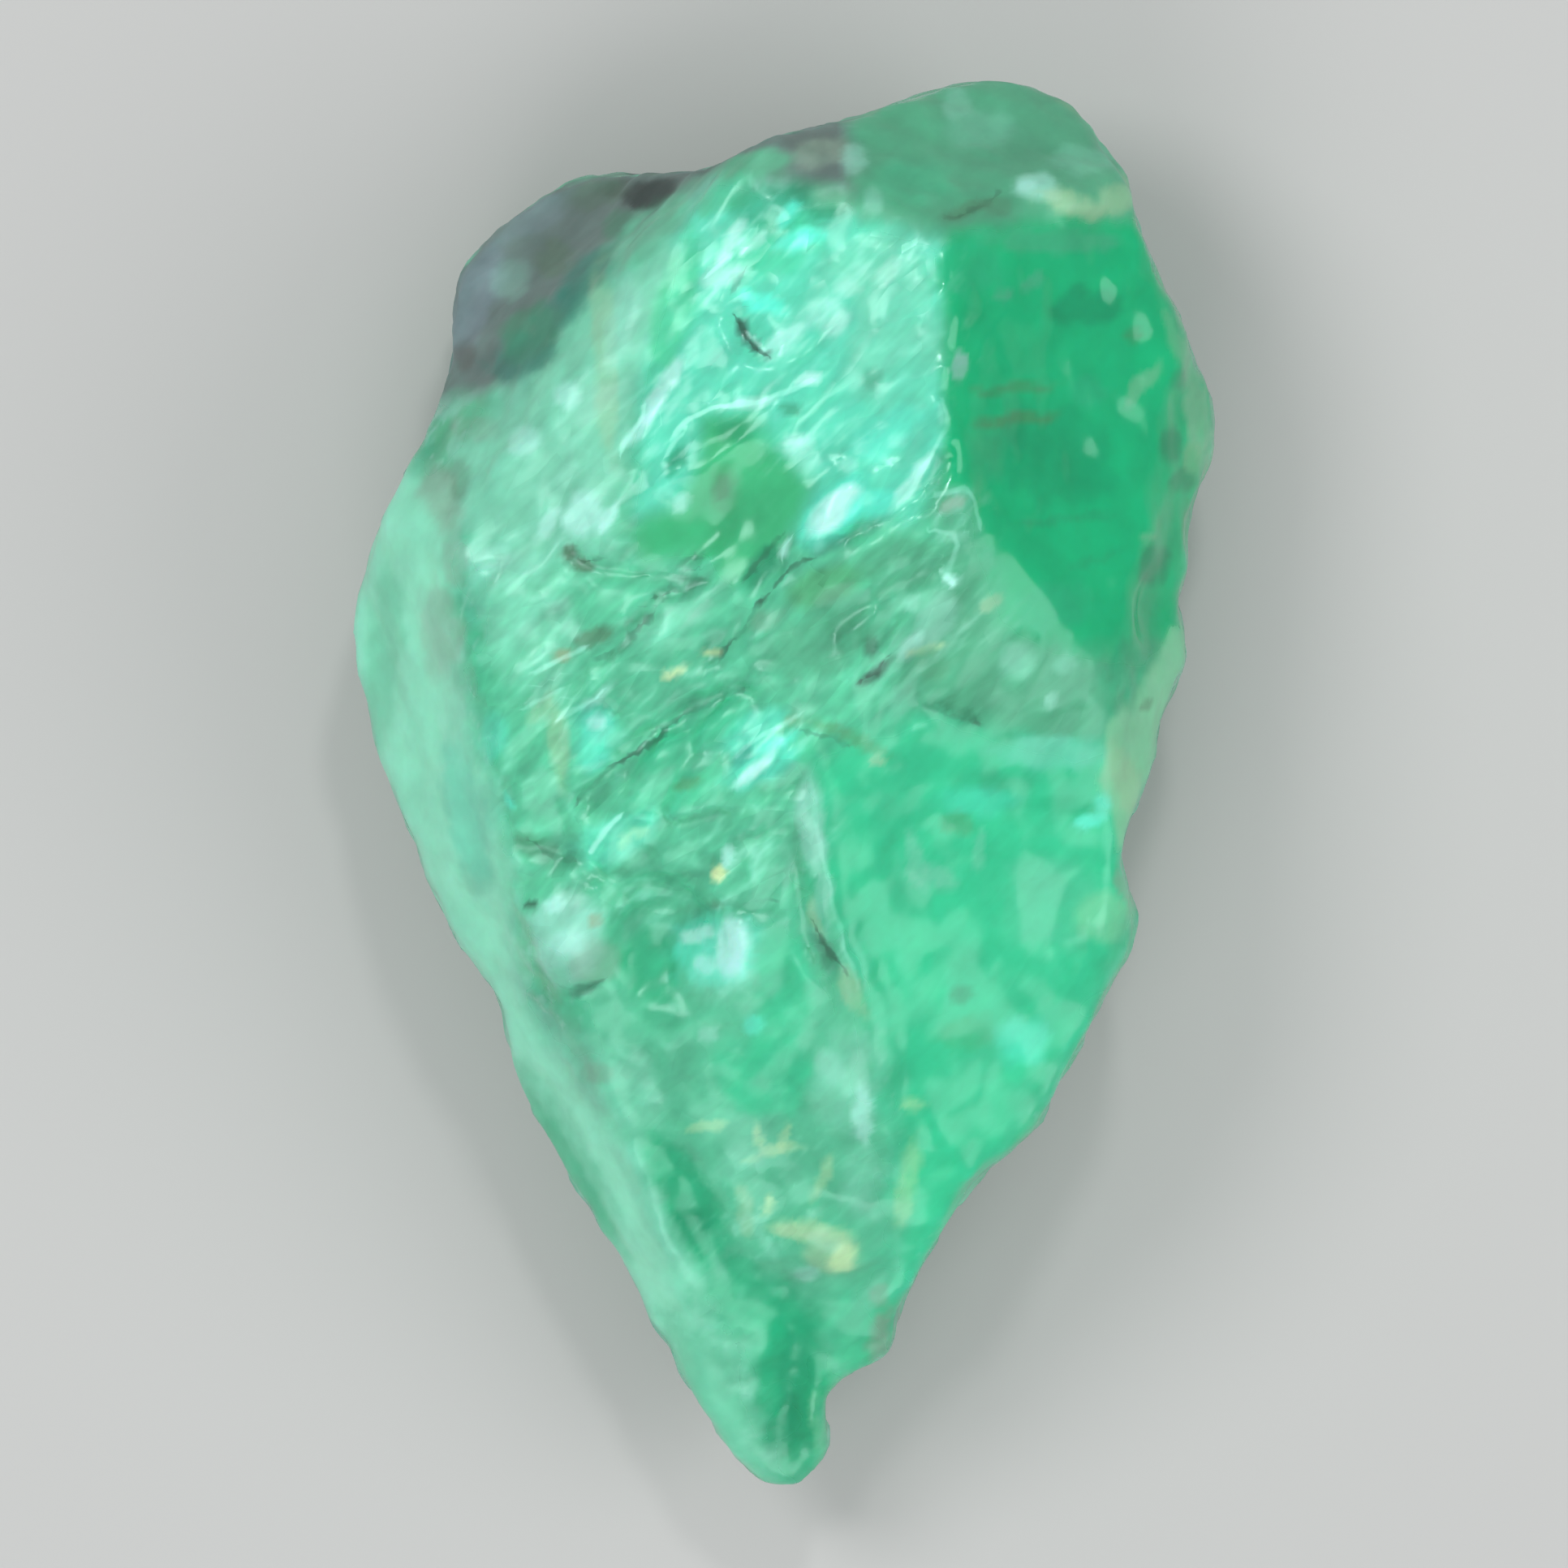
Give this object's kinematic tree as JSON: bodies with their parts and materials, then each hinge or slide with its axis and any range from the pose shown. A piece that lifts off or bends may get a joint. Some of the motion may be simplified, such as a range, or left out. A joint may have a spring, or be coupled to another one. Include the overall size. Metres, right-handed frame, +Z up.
{
  "type": "rough emerald",
  "caption": "Tear-shaped rough emerald crystal, a broken prism piece with a glittering fractured front, a smooth side face and grey host rock on one shoulder.",
  "frame": {"origin": "centre of the bounding box's bottom, on the surface that the stone lies on", "axes": "+Y along the stone from its hooked tip to its broad end, +X across it towards its smooth side face, +Z up out of its fractured front"},
  "size_m": [0.0154, 0.025, 0.0094],
  "materials": {
    "emerald": "translucent green crystal, full of small fractures, with pale clouded edges and grey rock on one shoulder"
  },
  "bodies": {
    "root": {"emerald": "emerald"}
  },
  "joints": []
}
